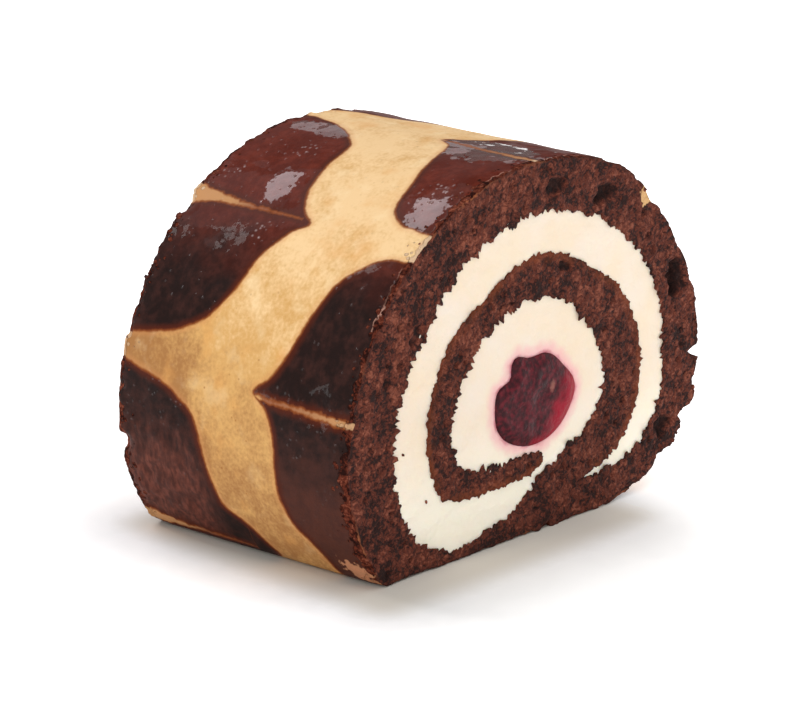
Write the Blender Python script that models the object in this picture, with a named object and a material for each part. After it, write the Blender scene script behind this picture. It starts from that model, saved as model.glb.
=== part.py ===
"""A cut length of chocolate swiss roll, filled with cream round a core of cherries.

Frame: +Z up. The roll lies along Y, its front cut face looks along -Y, and the origin is under the middle
of the roll, on the surface that it stands on. One sheet of sponge is rolled up clockwise, seen from the
front, and each of its stations is given by the angle that it has turned and by how far its two faces lie
from the roll's eye. The cream is what the sheet leaves free, and the cherry core runs through its middle.
All lengths are in metres, except the tables of stations, which are in millimetres.
"""

import math

import bmesh
import bpy
from mathutils import Vector

MM = 0.001

LENGTH = 55.0 * MM  # between the two cut faces
CUT_SKEW = math.radians(-5.0)  # the roll's axis against the normal of its cut faces
EYE_X, EYE_Z = 2.0 * MM, 27.0 * MM  # the roll's eye in a cross-section
GAP = 0.35 * MM  # clearance left between two pieces, and inside the seam
TIP_BULGE_DEG = 7.0  # how far the sheet's tip inside the roll is rounded out
SHEET_STEP_DEG = 2.0  # the turn that one flat side of the faceted sheet takes
CHERRY_STEP_DEG = 6  # the same on the cherry core
SMOOTH_BELOW = math.radians(35)  # flatter edges than this are shaded smooth

# Stations of the sponge sheet: angle turned from straight down in degrees, then the distance from the eye
# to the sheet's inner and outer face in millimetres. It starts at the tip inside the roll. It is pressed
# thin where it lies flat under the roll, has a corner low on the left, and ends as a wedge in the seam.
SHEET = (
    (0, 11.0, 14.6),
    (30, 12.7, 18.1),
    (45, 16.3, 22.3),
    (60, 21.0, 28.6),
    (75, 22.8, 29.8),
    (120, 21.0, 28.0),
    (150, 19.7, 25.8),
    (180, 18.5, 27.0),
    (210, 18.0, 26.0),
    (240, 17.5, 28.0),
    (270, 18.5, 29.0),
    (300, 17.3, 28.2),
    (330, 15.0, 23.0),
    (345, 15.5, 24.8),
    (360, 17.0, 27.0),
    (390, 27.4, 32.0),
    (405, 34.5, 40.0),
    (416, 37.6, 48.6),
    (424, 38.7, 50.0),
    (450, 37.8, 50.0),
    (480, 35.6, 47.6),
    (540, 35.0, 45.0),
    (570, 35.0, 45.5),
    (600, 35.9, 45.0),
    (615, 36.1, 46.0),
    (630, 35.9, 46.0),
    (645, 35.7, 46.3),
    (660, 33.8, 42.6),
    (670, 30.0, 38.2),
    (690, 23.4, 32.0),
    (712, 26.2, 29.0),
)
TAIL_DEG = 684.0  # where the cream has thinned out between the sheet and its own end

# The cherry core: the angle from straight down in degrees, and its distance from the eye in millimetres.
CHERRY = (
    (0, 9.6),
    (30, 10.2),
    (61, 11.4),
    (85, 11.3),
    (105, 10.8),
    (123, 8.4),
    (144, 10.2),
    (165, 7.8),
    (202, 8.0),
    (240, 8.3),
    (273, 10.5),
    (297, 10.1),
    (330, 9.7),
)


def hermite(xs, ys, x):
    """The smooth curve through the points (xs, ys), read at x. Its slopes come from the neighbours."""
    k = max(0, min(len(xs) - 2, sum(x >= value for value in xs) - 1))

    def slope(i):
        low, high = max(i - 1, 0), min(i + 1, len(xs) - 1)
        return (ys[high] - ys[low]) / (xs[high] - xs[low])

    span = xs[k + 1] - xs[k]
    t = (x - xs[k]) / span
    start, end = (2 * t**3 - 3 * t**2 + 1) * ys[k], (3 * t**2 - 2 * t**3) * ys[k + 1]
    leave, arrive = (t**3 - 2 * t**2 + t) * slope(k), (t**3 - t**2) * slope(k + 1)
    return start + end + span * (leave + arrive)


def section_point(angle_deg, radius):
    """The point of a cross-section this far from the eye. Nothing reaches below the surface it stands on."""
    angle = math.radians(angle_deg)
    return (EYE_X - radius * math.sin(angle), max(0.0, EYE_Z - radius * math.cos(angle)))


def outer_face(angle_deg):
    """How far the sheet's outer face lies from the eye."""
    return hermite([s[0] for s in SHEET], [s[2] * MM for s in SHEET], angle_deg)


def inner_face(angle_deg):
    """The sheet's inner face. In the seam it lies on the turn before it."""
    face = hermite([s[0] for s in SHEET], [s[1] * MM for s in SHEET], angle_deg)
    if angle_deg > TAIL_DEG:
        face = max(face, outer_face(angle_deg - 360.0) + GAP)
    return face


def angles(start, end):
    """Even steps from one angle to another, both included."""
    count = max(1, round(abs(end - start) / SHEET_STEP_DEG))
    return [start + (end - start) * i / count for i in range(count + 1)]


def round_end(angle_deg, start, end, bulge_deg, count=6):
    """A layer's rounded end, from one radius to another, without those two end points themselves."""
    points = []
    for i in range(1, count):
        turn = math.pi * i / count
        radius = (start + end) / 2 + (start - end) / 2 * math.cos(turn)
        points.append(section_point(angle_deg - bulge_deg * math.sin(turn), radius))
    return points


def sheet_outline():
    """One loop: out along the outer face, back along the inner face, and round the tip inside the roll."""
    first, last = SHEET[0][0], SHEET[-1][0]
    outline = [section_point(a, outer_face(a)) for a in angles(first, last)]
    outline += [section_point(a, inner_face(a)) for a in angles(last, first)]
    return outline + round_end(first, inner_face(first), outer_face(first), TIP_BULGE_DEG)


def cream_outline():
    """One loop: in along the sheet's inner face, round its tip, and out again along its outer face."""
    first = SHEET[0][0]
    outline = [section_point(a, inner_face(a) - GAP) for a in angles(TAIL_DEG, first)]
    outline += round_end(first, inner_face(first) - GAP, outer_face(first) + GAP, TIP_BULGE_DEG + 2.0)
    outline += [section_point(a, outer_face(a) + GAP) for a in angles(first, TAIL_DEG - 360.0)]
    return outline


def cherry_outline(allowance=0.0):
    """The cherry core's loop, this much larger than the fruit itself."""
    around = [(a + turn, r) for turn in (-360, 0, 360) for a, r in CHERRY]
    xs = [a for a, _ in around]
    ys = [r * MM + allowance for _, r in around]
    return [section_point(a, hermite(xs, ys, a)) for a in range(0, 360, CHERRY_STEP_DEG)]


def prism(name, outline, overshoot=0.0):
    """A solid with this cross-section all along the roll. It leans with the cut's skew."""
    mesh = bpy.data.meshes.new(name)
    bm = bmesh.new()
    front_y = -LENGTH / 2 - overshoot
    lean = math.tan(CUT_SKEW)
    ring = [bm.verts.new((x + front_y * lean, front_y, z)) for x, z in outline]
    face = bm.faces.new(ring)
    run = LENGTH + 2 * overshoot
    swept = bmesh.ops.extrude_face_region(bm, geom=[face])
    moved = [v for v in swept["geom"] if isinstance(v, bmesh.types.BMVert)]
    bmesh.ops.translate(bm, verts=moved, vec=Vector((run * lean, run, 0.0)))
    bmesh.ops.recalc_face_normals(bm, faces=bm.faces)
    bmesh.ops.triangulate(bm, faces=[f for f in bm.faces if len(f.verts) > 4])
    bm.to_mesh(mesh)
    bm.free()
    mesh.shade_smooth()
    mesh.set_sharp_from_angle(angle=SMOOTH_BELOW)
    obj = bpy.data.objects.new(name, mesh)
    bpy.context.scene.collection.objects.link(obj)
    return obj


def give_material(obj, name, colour, roughness):
    material = bpy.data.materials.new(name)
    material.use_nodes = True
    shader = material.node_tree.nodes["Principled BSDF"]
    shader.inputs["Base Color"].default_value = (*colour, 1.0)
    shader.inputs["Roughness"].default_value = roughness
    shader.inputs["Metallic"].default_value = 0.0
    obj.data.materials.append(material)


def cut(obj, cutter):
    """Takes the cutter's shape out of the object."""
    cutter.hide_render = True
    cutter.display_type = "WIRE"
    modifier = obj.modifiers.new("cherry_hole", "BOOLEAN")
    modifier.operation = "DIFFERENCE"
    modifier.solver = "EXACT"
    modifier.object = cutter


def main():
    for obj in list(bpy.data.objects):
        bpy.data.objects.remove(obj)

    sponge = prism("sponge", sheet_outline())
    give_material(sponge, "sponge", (0.085, 0.030, 0.018), 0.85)

    cream = prism("cream", cream_outline())
    give_material(cream, "cream", (0.90, 0.82, 0.66), 0.55)
    cut(cream, prism("cherry_cutter", cherry_outline(GAP), overshoot=2 * MM))

    cherry = prism("cherry", cherry_outline())
    give_material(cherry, "cherry", (0.16, 0.010, 0.022), 0.25)


main()
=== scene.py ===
"""The looks of a cut length of chocolate swiss roll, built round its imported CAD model.

A cross-section is drawn in (u, z): u to the right as the front cut face is seen, z up, in millimetres. The
roll leans a little, so a point of the section at the depth y lies at x = u + LEAN * y. On the skin, s is the
length along the outline from the corner at the bottom left, clockwise over the top.
"""

import itertools
import math

import bmesh
import bpy
import numpy as np
from mathutils import Euler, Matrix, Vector
from mathutils.geometry import delaunay_2d_cdt
from mathutils.kdtree import KDTree


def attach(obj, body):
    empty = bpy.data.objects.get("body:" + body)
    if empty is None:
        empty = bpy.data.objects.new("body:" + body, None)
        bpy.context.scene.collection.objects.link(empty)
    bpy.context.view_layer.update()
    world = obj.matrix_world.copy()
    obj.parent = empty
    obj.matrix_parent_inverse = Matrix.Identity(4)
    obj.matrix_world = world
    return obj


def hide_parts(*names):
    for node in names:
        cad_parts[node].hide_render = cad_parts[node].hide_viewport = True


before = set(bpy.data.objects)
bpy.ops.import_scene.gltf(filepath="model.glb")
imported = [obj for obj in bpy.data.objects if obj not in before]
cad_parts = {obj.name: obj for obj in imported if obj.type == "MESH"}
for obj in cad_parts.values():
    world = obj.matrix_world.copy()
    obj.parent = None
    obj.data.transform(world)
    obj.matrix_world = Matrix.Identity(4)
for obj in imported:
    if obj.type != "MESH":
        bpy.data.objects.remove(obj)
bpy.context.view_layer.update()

MM = 0.001
EYE = np.array([2.0, 27.0])  # the middle that the sheet is rolled round, as in the CAD
SEAM_ANGLES = (322.0, 354.0)  # the sheet's outer face is covered by its own end between these turns
TAIL_ANGLE = 684.0  # the sheet's inner face meets its own turn from here on
SKIN_START = (-38.0, 0.0)  # the corner at the bottom left, where s is 0

# Loose crumbs on the cream: u, z and size.
CREAM_CRUMBS = (
    (-33.5, 24.0, 0.8),
    (-27.5, 13.5, 0.7),
    (-22.5, 18.0, 0.6),
    (-23.0, 14.5, 0.7),
)

# ---------------------------------------------------------------------------------------------------------
# Repeatable noise on arrays of points, all lengths in millimetres
# ---------------------------------------------------------------------------------------------------------


def hashed(cells, seed):
    """A random number from 0 to 1 for each cell of a grid, the same in every run."""
    n = cells[..., 0] * 374761393 + cells[..., 1] * 668265263 + cells[..., 2] * 1442695041 + seed * 1274126177
    n = (n ^ (n >> 13)) * 1103515245
    n = (n ^ (n >> 17)) * 668265263
    n = n ^ (n >> 15)
    return (n & 0xFFFFFF) / 0xFFFFFF


def smooth(points, size, seed):
    """Soft noise from -1 to 1 whose bumps are about this size."""
    p = points / size
    base = np.floor(p).astype(np.int64)
    t = p - base
    t = t * t * (3 - 2 * t)
    total = np.zeros(len(points))
    for corner in itertools.product((0, 1), repeat=3):
        weight = np.prod(np.where(corner, t, 1 - t), axis=1)
        total += weight * hashed(base + np.array(corner), seed)
    return 2 * total - 1


def rough(points, size, octaves, seed):
    """Noise from about -1 to 1 with finer and finer bumps on top of each other."""
    total, share = 0.0, 0.0
    for k in range(octaves):
        total = total + smooth(points, size / 2**k, seed + 7 * k) / 2**k
        share += 1 / 2**k
    return total / share * 1.4


def grains(points, size, seed):
    """For each point the distance to the nearest grain's middle, in grains, and that grain's random number."""
    p = points / size
    base = np.floor(p).astype(np.int64)
    nearest = np.full(len(points), 9.0)
    number = np.zeros(len(points))
    for corner in itertools.product((-1, 0, 1), repeat=3):
        cell = base + np.array(corner)
        middle = cell + np.stack([hashed(cell, seed + k) for k in (1, 2, 3)], axis=1)
        distance = np.linalg.norm(p - middle, axis=1)
        closer = distance < nearest
        nearest = np.where(closer, distance, nearest)
        number = np.where(closer, hashed(cell, seed + 4), number)
    return nearest, number


def ramp(x, low, high):
    """0 below low, 1 above high, and a smooth step between them."""
    t = np.clip((x - low) / (high - low), 0, 1)
    return t * t * (3 - 2 * t)


# ---------------------------------------------------------------------------------------------------------
# The cross-section, read from the CAD model
# ---------------------------------------------------------------------------------------------------------


def node_places(node):
    return np.array([v.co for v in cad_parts[node].data.vertices]) / MM


def cut_face_loop(node):
    """The loop round a CAD node's front cut face, counter-clockwise, as points (u, z)."""
    keys = [tuple(p) for p in np.round(node_places(node), 3)]
    edges = set()
    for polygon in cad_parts[node].data.polygons:
        corners = [keys[i] for i in polygon.vertices]
        if all(abs(c[1] - FRONT) < 0.01 for c in corners):
            for edge in zip(corners, corners[1:] + corners[:1]):
                if edge[::-1] in edges:
                    edges.remove(edge[::-1])
                else:
                    edges.add(edge)
    follow = dict(sorted(edges))
    loop = [min(follow)]
    while follow[loop[-1]] != loop[0]:
        loop.append(follow[loop[-1]])
    return np.array([(c[0] - LEAN * FRONT, c[2]) for c in loop])


def polar(points):
    """Each point's angle from straight down, clockwise, in degrees, and its distance from the eye."""
    offset = points - EYE
    return np.degrees(np.arctan2(-offset[:, 0], -offset[:, 1])), np.linalg.norm(offset, axis=1)


def section_point(angle, radius):
    turn = np.radians(angle)
    return np.stack([EYE[0] - radius * np.sin(turn), EYE[1] - radius * np.cos(turn)], axis=-1)


sponge_places = node_places("sponge")
FRONT, BACK = sponge_places[:, 1].min(), sponge_places[:, 1].max()
LENGTH = BACK - FRONT
front_edge_x = sponge_places[sponge_places[:, 1] < FRONT + 0.01, 0].min()
back_edge_x = sponge_places[sponge_places[:, 1] > BACK - 0.01, 0].min()
LEAN = (back_edge_x - front_edge_x) / LENGTH

# The sponge's loop starts at the tip inside the roll, runs out along the inner face and back on the outer.
sheet_loop = cut_face_loop("sponge")
turned = np.unwrap(polar(sheet_loop)[0], period=360)
first = int(np.argmin(turned))
sheet_loop = np.roll(sheet_loop, -first, axis=0)
turned = np.roll(turned, -first)
turned = np.unwrap(turned, period=360)
turned -= 360 * round(turned[0] / 360)
outer_end = int(np.argmax(turned))
sheet_radius = polar(sheet_loop)[1]


def inner_face(angle):
    """How far the sheet's inner face lies from the eye."""
    return np.interp(angle, turned[: outer_end + 1], sheet_radius[: outer_end + 1])


def outer_face(angle):
    """How far the sheet's outer face lies from the eye."""
    return np.interp(angle, turned[: outer_end - 1 : -1], sheet_radius[: outer_end - 1 : -1])


def near_sheet(points, margin):
    """Whether each point of the section lies in the sheet, or within this margin of it."""
    angle, radius = polar(points)
    found = np.zeros(len(points), bool)
    for a in (angle % 360 - 360, angle % 360, angle % 360 + 360):
        on_sheet = (a > turned[0] - 3) & (a < turned[outer_end] + 3)
        found |= on_sheet & (radius > inner_face(a) - margin) & (radius < outer_face(a) + margin)
    return found


def distances(points, line):
    """How far each point of the section lies from the nearest point of a line."""
    tree = KDTree(len(line))
    for i, (u, z) in enumerate(line):
        tree.insert((u, z, 0), i)
    tree.balance()
    return np.array([tree.find((u, z, 0))[2] for u, z in points])


def resample(line, spacing, multiple):
    """Even points along an open line, without the last one. Their number is a multiple of the given one."""
    steps = np.linalg.norm(np.diff(line[:, :2], axis=0), axis=1)
    run = np.concatenate([[0], np.cumsum(steps)])
    count = max(1, round(run[-1] / spacing / multiple)) * multiple
    at = np.arange(count) * run[-1] / count
    return np.stack([np.interp(at, run, line[:, k]) for k in range(line.shape[1])], axis=1)


def outward(ring):
    """Unit normals of a counter-clockwise ring of points, pointing out of what it encloses."""
    along = np.roll(ring, -1, axis=0) - np.roll(ring, 1, axis=0)
    along /= np.maximum(np.linalg.norm(along, axis=1, keepdims=True), 1e-9)
    return np.stack([along[:, 1], -along[:, 0]], axis=1)


def spaced_grid(low, high, spacing, seed):
    """Points in staggered rows over a rectangle, each shifted a little."""
    rows = np.arange(low[1], high[1], spacing * 0.866)
    columns = np.arange(low[0], high[0], spacing)
    u, z = np.meshgrid(columns, rows)
    u[1::2] += spacing / 2
    grid = np.stack([u.ravel(), z.ravel()], axis=1)
    shift = np.random.default_rng(seed).uniform(-0.22, 0.22, grid.shape)
    return grid + shift * spacing


def fill(rings, spacing, seed, keep=None):
    """Fills the first ring, less the others in it, with triangles.

    Returns the points, which start with the rings' own, and the triangles. keep says which grid points of
    the ring's surroundings are worth trying.
    """
    border = np.concatenate(rings)
    grid = spaced_grid(rings[0].min(axis=0), rings[0].max(axis=0), spacing, seed)
    if keep is not None:
        grid = grid[keep(grid)]
    grid = grid[distances(grid, border) > 0.55 * spacing]
    points = [Vector(p) for p in (*border, *grid)]
    starts = np.cumsum([0] + [len(r) for r in rings])
    loops = [list(range(a, b)) for a, b in zip(starts, starts[1:])]
    corners, _, faces, _, _, sources = delaunay_2d_cdt(points, [], loops, 1, 1e-7, True)
    if len(corners) != len(points):
        raise RuntimeError("a ring of the section crosses itself")
    triangles = [tuple(face) for face, source in zip(faces, sources) if list(source) == [0]]
    return np.array([tuple(c) for c in corners]), np.array(triangles)


# ---------------------------------------------------------------------------------------------------------
# Meshes
# ---------------------------------------------------------------------------------------------------------


def placed(section, depth):
    """Points of the section, put at their depth along the roll."""
    return np.stack([section[:, 0] + LEAN * depth, depth, section[:, 1]], axis=1)


def make_piece(name, places, faces, materials, indices=None, fields=None):
    """A smooth mesh from points in millimetres. Unused points are left out. fields are float attributes."""
    used = np.zeros(len(places), bool)
    for face in faces:
        used[list(face)] = True
    number = np.cumsum(used) - 1
    mesh = bpy.data.meshes.new(name)
    mesh.from_pydata((places[used] * MM).tolist(), [], [[int(number[i]) for i in f] for f in faces])
    for material in materials:
        mesh.materials.append(material)
    if indices is not None:
        mesh.polygons.foreach_set("material_index", indices)
    for field, values in (fields or {}).items():
        attribute = mesh.attributes.new(field, "FLOAT", "POINT")
        attribute.data.foreach_set("value", np.asarray(values, np.float32)[used])
    mesh.validate()
    bm = bmesh.new()
    bm.from_mesh(mesh)
    bmesh.ops.recalc_face_normals(bm, faces=bm.faces)
    bm.to_mesh(mesh)
    bm.free()
    mesh.shade_smooth()
    piece = bpy.data.objects.new(name, mesh)
    bpy.context.scene.collection.objects.link(piece)
    return piece


# ---------------------------------------------------------------------------------------------------------
# The feathered pattern of the skin, in (s, y): cocoa lobes from both ends, with their tips in staggered rows
# ---------------------------------------------------------------------------------------------------------

PATTERN_PERIOD = 134.0  # two lobes of each row

# The edge of the lobes that come from the back, and of those that come from the front.
BACK_LOBES = (
    (3.5, -5.0),
    (7.0, -3.0),
    (10.0, 0.0),
    (14.0, 5.0),
    (22.0, 6.5),
    (30.0, 9.0),
    (34.5, 15.0),
    (37.5, 25.0),
    (38.5, 32.0),
    (42.0, 32.0),
    (43.0, 25.0),
    (45.5, 15.0),
    (50.0, 8.5),
    (55.0, 6.0),
    (62.0, 4.0),
    (68.0, 1.0),
    (70.5, -2.0),
    (73.0, 1.0),
    (78.0, 4.0),
    (85.0, 5.5),
    (92.0, 6.5),
    (97.0, 11.0),
    (100.5, 17.0),
    (103.0, 25.0),
    (104.0, 32.0),
    (108.5, 32.0),
    (110.0, 24.0),
    (114.0, 13.0),
    (121.0, 6.5),
    (130.0, 2.0),
)
FRONT_LOBES = (
    (2.0, -18.5),
    (6.0, -17.2),
    (10.0, -15.2),
    (14.0, -12.0),
    (20.0, -10.5),
    (30.0, -10.0),
    (35.0, -8.0),
    (37.7, -4.5),
    (41.0, -8.0),
    (48.0, -11.0),
    (55.0, -13.0),
    (60.0, -15.0),
    (65.0, -19.0),
    (67.2, -23.0),
    (68.2, -32.0),
    (73.6, -32.0),
    (74.4, -21.0),
    (78.0, -16.0),
    (85.0, -14.0),
    (90.0, -12.5),
    (97.0, -10.5),
    (102.0, -8.0),
    (104.5, -4.5),
    (108.0, -8.0),
    (116.0, -11.0),
    (126.0, -14.0),
    (131.0, -17.0),
)
BACK_TIPS = (3.5, 71.3)  # where the thin light spine runs back from each tip
FRONT_TIPS = (37.2, 104.5)


def repeated(knots):
    return np.array([(s + turn * PATTERN_PERIOD, y) for turn in (-2, -1, 0, 1, 2) for s, y in knots])


def rounded_curve(knots, at):
    """A smooth curve through the knots, without overshoot at its steep parts."""
    x, y = knots.T
    step = np.diff(x)
    slope = np.diff(y) / step
    together = slope[1:] * slope[:-1] > 0
    inner = np.where(together, 2 * slope[1:] * slope[:-1] / np.where(together, slope[1:] + slope[:-1], 1), 0)
    tangent = np.concatenate([[slope[0]], inner, [slope[-1]]])
    k = np.clip(np.searchsorted(x, at) - 1, 0, len(x) - 2)
    t = (at - x[k]) / step[k]
    ends = (2 * t**3 - 3 * t**2 + 1) * y[k] + (3 * t**2 - 2 * t**3) * y[k + 1]
    return ends + step[k] * ((t**3 - 2 * t**2 + t) * tangent[k] + (t**3 - t**2) * tangent[k + 1])


def distance_inside(knots, s, y, side):
    """How deep a point of the skin lies inside a row of lobes: negative outside them."""
    at = np.arange(s.min() - 5, s.max() + 5, 0.1)
    line = np.stack([at, rounded_curve(repeated(knots), at)], axis=1)
    away = distances(np.column_stack([s, y]), resample(line, 0.25, 1))
    inside = side * (y - rounded_curve(repeated(knots), s)) > 0
    return np.where(inside, away, -away)


def spine_distance(tips, s):
    """The distance along the skin to the nearest spine, with a sign, and smooth between two spines."""
    every = np.array([tip + turn * PATTERN_PERIOD for turn in (-2, -1, 0, 1, 2) for tip in tips])
    phase = np.interp(s, every, np.arange(len(every)))
    return PATTERN_PERIOD / 2 / math.pi * np.sin(math.pi * phase)


# Where the glaze has set thick and smooth: the middle's s and y, and how far it reaches along s and y.
GLAZE_POOLS = (
    (78.0, 11.0, 5.6, 3.6),
    (80.5, -24.4, 8.2, 6.2),
    (97.5, 17.0, 3.4, 9.0),
    (104.0, -16.0, 8.0, 13.0),
)
# Where small bubbles stand close together in it, and where some are painted pale as painted highlights: the middle's s
# and y, and the reach.
BUBBLES = (
    (78.5, 23.0, 4.5),
    (67.5, 7.8, 5.0),
    (30.0, 20.0, 8.0),
    (39.0, 11.0, 6.0),
    (88.0, 14.0, 5.0),
    (84.0, -21.0, 6.0),
    (150.0, 15.0, 7.0),
)


def skin_fields(s, y):
    """What the skin's material needs.

    It is the depth in the cocoa, the distance to a spine, the spine's half width, the depth in a pool of
    glaze as a share of the pool's reach, and how many bubbles there are, which also sets where sparkles are painted
    pale as painted highlights.
    """
    wander = np.stack([s, y, np.zeros_like(s)], axis=1)
    y = y + 0.35 * smooth(wander, 7.0, 31)
    cocoa = np.maximum(distance_inside(BACK_LOBES, s, y, 1), distance_inside(FRONT_LOBES, s, y, -1))
    behind = y > 0
    drift = np.where(behind, 0.03 * y, 0.05 * y)
    spine = np.where(behind, spine_distance(BACK_TIPS, s - drift), spine_distance(FRONT_TIPS, s - drift))
    run = np.abs(y) / 27.5
    half = np.where(behind, 2.1 * run**2.4 - 0.12, 0.05 + 0.6 * run**1.5)
    pool = np.full(len(s), -3.0)
    for pool_s, pool_y, along, across in GLAZE_POOLS:
        pool = np.maximum(pool, 1 - np.hypot((s - pool_s) / along, (y - pool_y) / across))
    bubbles_and_painted_sparkle = np.zeros(len(s))
    for middle_s, middle_y, around in BUBBLES:
        bubbles_and_painted_sparkle = np.maximum(bubbles_and_painted_sparkle, ramp(-np.hypot(s - middle_s, y - middle_y), -around, 0.0))
    return {"cocoa": cocoa, "spine": spine, "spine_half": half, "pool": pool, "bubbles_and_painted_sparkle": bubbles_and_painted_sparkle}


# ---------------------------------------------------------------------------------------------------------
# The sponge
# ---------------------------------------------------------------------------------------------------------

COLUMN = 0.33  # between two points of a cut edge
FRONT_SPACING = 0.355  # between two points inside the front cut face
BACK_SPACING = 0.5
SKIN_ROW = 0.76
EDGE_ROWS = (0.0, 0.35, 0.8)  # how deep the rows lie that have every column
FIRST_FULL_ROW = 1.4
TORN_SKIN_REACH = 4.0  # how far from a cut face the skin bends down to its torn edge
TORN_CRUMB_REACH = 1.6
SEAM_CLOSED = 0.13  # how far the sheet's end and the turn under it each reach into the seam at a cut face

# Chips out of an edge: where they are, how wide and how deep.
FRONT_CHIPS = (
    ((47.5, 25.3), 0.9, 3.2),
    ((45.3, 12.2), 1.6, 2.4),
    ((38.5, 5.2), 2.2, 1.4),
    ((33.5, 59.0), 1.6, 0.9),
    ((-47.6, 33.5), 1.2, 0.7),
    ((-39.5, 50.2), 1.0, 0.6),
)
BACK_CHIPS = (
    ((-47.3, 18.0), 1.4, 1.6),
    ((-30.0, 61.0), 1.8, 1.2),
    ((12.0, 71.3), 1.3, 1.0),
    ((44.0, 45.0), 2.4, 1.8),
    ((41.0, 6.0), 1.6, 1.4),
)


def sponge_ring():
    """The columns of the sponge's wall as a table of u, z, the angle turned, and the sheet's side.

    The skin's columns come first, from the sheet's outer end over the top to where it lies on itself. The
    side is 1 on the sheet's outer face and -1 on its inner face. Also returns how many the skin has.
    """
    side = np.where(np.arange(len(turned)) < outer_end, -1.0, 1.0)
    table = np.column_stack([sheet_loop, turned, side])
    table = np.vstack([table, table[:1]])
    skin_stop = outer_end + int(np.argmax(turned[outer_end:] < SEAM_ANGLES[1]))
    skin = resample(table[outer_end : skin_stop + 1], COLUMN, 2)
    covered = np.concatenate([table[skin_stop:-1], table[: outer_end + 1]])
    return np.concatenate([skin, resample(covered, COLUMN, 4)]), len(skin)


def chip_depth(ring, chips):
    depth = np.zeros(len(ring))
    for place, width, deep in chips:
        away = np.linalg.norm(ring - np.array(place), axis=1)
        depth = np.maximum(depth, deep * np.clip(1.6 - away / width, 0, 1))
    return depth


# Hollows torn in the front cut face: the middle's u and z, the reach along u and z, and the depth.
FRONT_HOLLOWS = (
    (41.2, 42.0, 2.3, 5.0, 2.8),
    (6.0, 66.0, 3.6, 1.8, 1.3),
    (19.8, 62.0, 3.0, 2.4, 1.6),
    (-5.0, 45.5, 3.5, 1.2, 1.2),
    (-8.0, 37.0, 1.5, 2.6, 0.9),
    (9.0, 50.5, 2.6, 1.3, 0.9),
    (-30.0, 46.0, 2.0, 3.0, 0.8),
    (38.0, 12.0, 2.4, 2.0, 1.2),
)


def crumb_relief(points):
    """How far the torn crumb stands out of a cut face."""
    heap, _ = grains(points, 1.0, 11)
    fine, _ = grains(points, 0.6, 12)
    hole, size = grains(points, 3.1, 13)
    pores = ramp(0.12 + 0.24 * size - hole, 0, 0.12)
    swell = 0.25 * smooth(points, 5.0, 14) + 0.2 * smooth(points, 2.1, 15)
    wander = 0.5 * smooth(points, 1.6, 16)
    for u, z, across, up, deep in FRONT_HOLLOWS:
        away = np.hypot((points[:, 0] - LEAN * points[:, 1] - u) / across, (points[:, 2] - z) / up)
        swell = swell - deep * np.where(points[:, 1] < 0, ramp(-away + wander, -1.15, -0.45), 0.0)
    return swell + 0.5 * (0.55 - heap) + 0.22 * (0.5 - fine) - 0.5 * pores


def lumpy(points):
    """Where the glaze has dried in lumps: low on the left, in the lobe at the back. From 0 to 1."""
    return ramp(-points[:, 2], -31.0, -24.0) * ramp(-points[:, 0], 20.0, 30.0) * ramp(points[:, 1], 6.0, 12.0)


def spread(values, reach):
    """Smooths values round a closed ring."""
    kernel = np.hanning(2 * reach + 3)[1:-1]
    padded = np.concatenate([values[-reach:], values, values[:reach]])
    return np.convolve(padded, kernel / kernel.sum(), mode="valid")


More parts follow.
